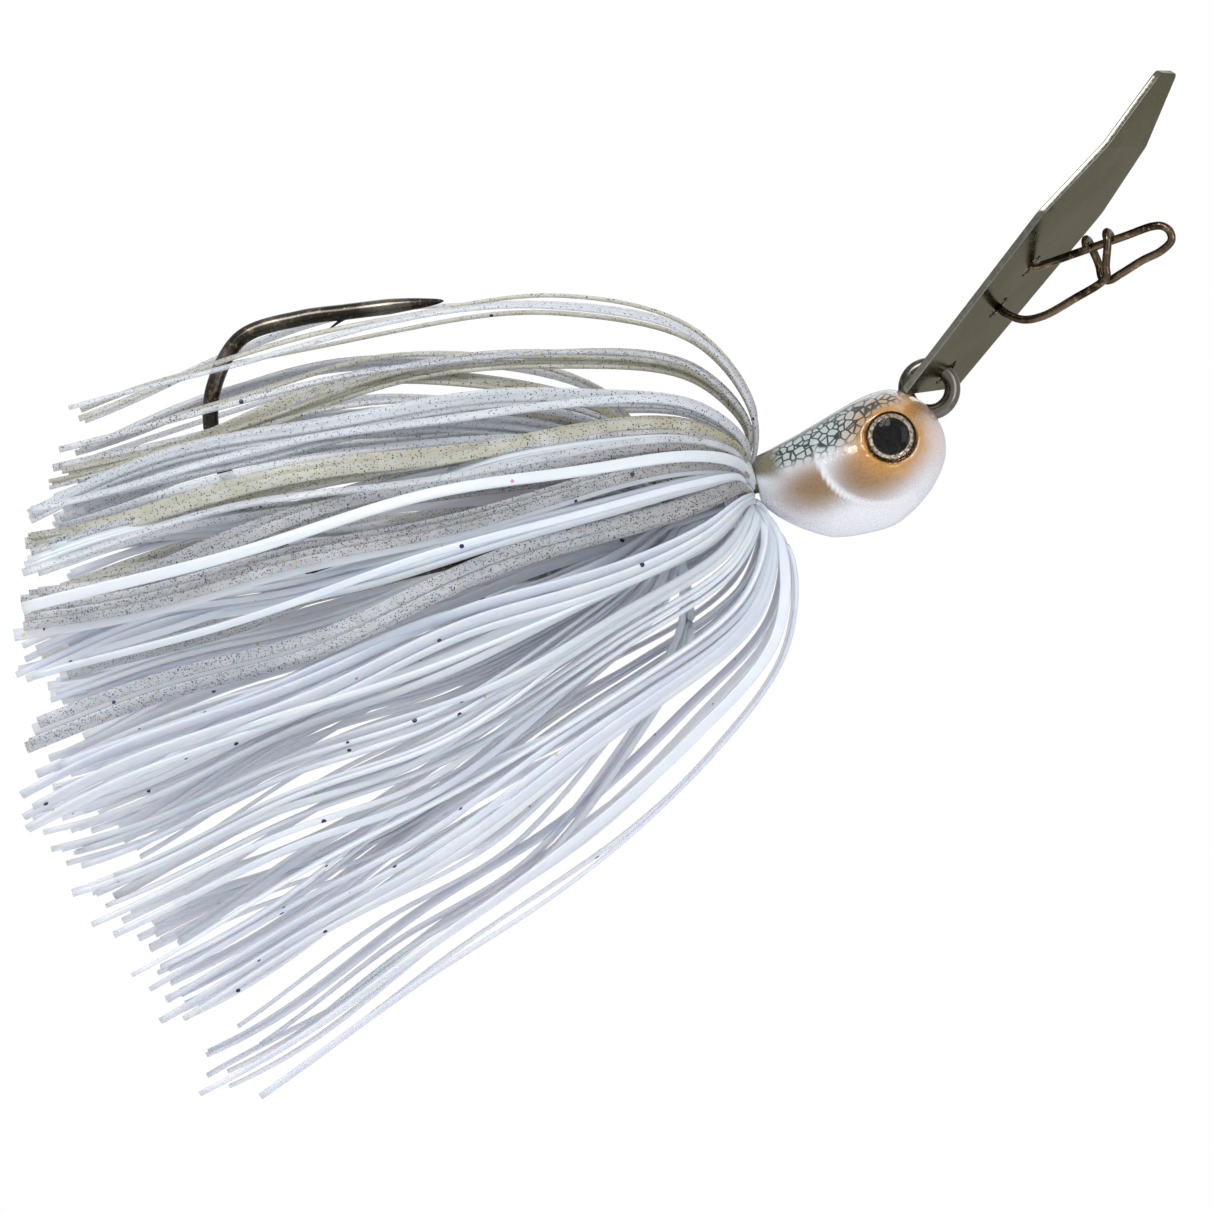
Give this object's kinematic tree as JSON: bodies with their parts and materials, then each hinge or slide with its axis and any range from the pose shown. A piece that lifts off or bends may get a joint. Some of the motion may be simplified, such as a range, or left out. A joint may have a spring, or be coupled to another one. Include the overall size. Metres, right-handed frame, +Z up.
{
  "type": "bladed swim jig (spinnerbait family)",
  "caption": "Skirted fishing lure: a painted fish-head jig hook with a silicone strand skirt, a hinged hexagonal vibrating blade and a wire line snap.",
  "frame": {"origin": "line tie, the point inside the nose of the wire snap where the line pulls", "axes": "+X forwards in the direction of travel, from the skirt tips to the blade; +Y towards the left flank; +Z up; the hook lies in a plane parallel to XZ"},
  "size_m": [0.0904, 0.0417, 0.0819],
  "materials": {
    "pearl_paint": "gloss",
    "black_nickel": "polished",
    "polished_nickel": "polished",
    "snap_nickel": "polished",
    "keeper_steel": "satin",
    "tie_thread": "matt",
    "eye_foil": "foil",
    "clear_resin": "gloss",
    "peppered_silicone": "satin",
    "pearl_silicone": "satin"
  },
  "bodies": {
    "jig": {"head": "pearl_paint", "hook": "black_nickel", "keeper_wire_upper": "keeper_steel", "keeper_wire_lower": "keeper_steel", "skirt_tie": "tie_thread", "eye_foil_left": "eye_foil", "eye_dome_left": "clear_resin", "eye_foil_right": "eye_foil", "eye_dome_right": "clear_resin", "skirt_strand_01": "peppered_silicone", "skirt_strand_02": "peppered_silicone", "skirt_strand_03": "pearl_silicone", "skirt_strand_04": "peppered_silicone", "skirt_strand_05": "peppered_silicone", "skirt_strand_06": "peppered_silicone", "skirt_strand_07": "peppered_silicone", "skirt_strand_08": "pearl_silicone", "skirt_strand_09": "pearl_silicone", "skirt_strand_10": "pearl_silicone", "skirt_strand_11": "pearl_silicone", "skirt_strand_12": "peppered_silicone", "skirt_strand_13": "peppered_silicone", "skirt_strand_14": "pearl_silicone", "skirt_strand_15": "peppered_silicone", "skirt_strand_16": "peppered_silicone", "skirt_strand_17": "peppered_silicone", "skirt_strand_18": "peppered_silicone", "skirt_strand_19": "pearl_silicone", "skirt_strand_20": "pearl_silicone", "skirt_strand_21": "pearl_silicone", "skirt_strand_22": "pearl_silicone"},
    "blade": {"blade": "polished_nickel"},
    "snap": {"snap": "snap_nickel"}
  },
  "joints": [
    {"name": "blade_swing", "type": "hinge", "parent": "jig", "child": "blade", "pos_m": [-0.018, 0.00696, -0.01204], "axis": [0, 1, 0], "range_deg": [-105, 108]},
    {"name": "snap_swing", "type": "hinge", "parent": "blade", "child": "snap", "pos_m": [-0.0115, 0.00449, -0.00384], "axis": [0.5971, -0.2756, 0.7533], "range_deg": [-45, 45]}
  ]
}
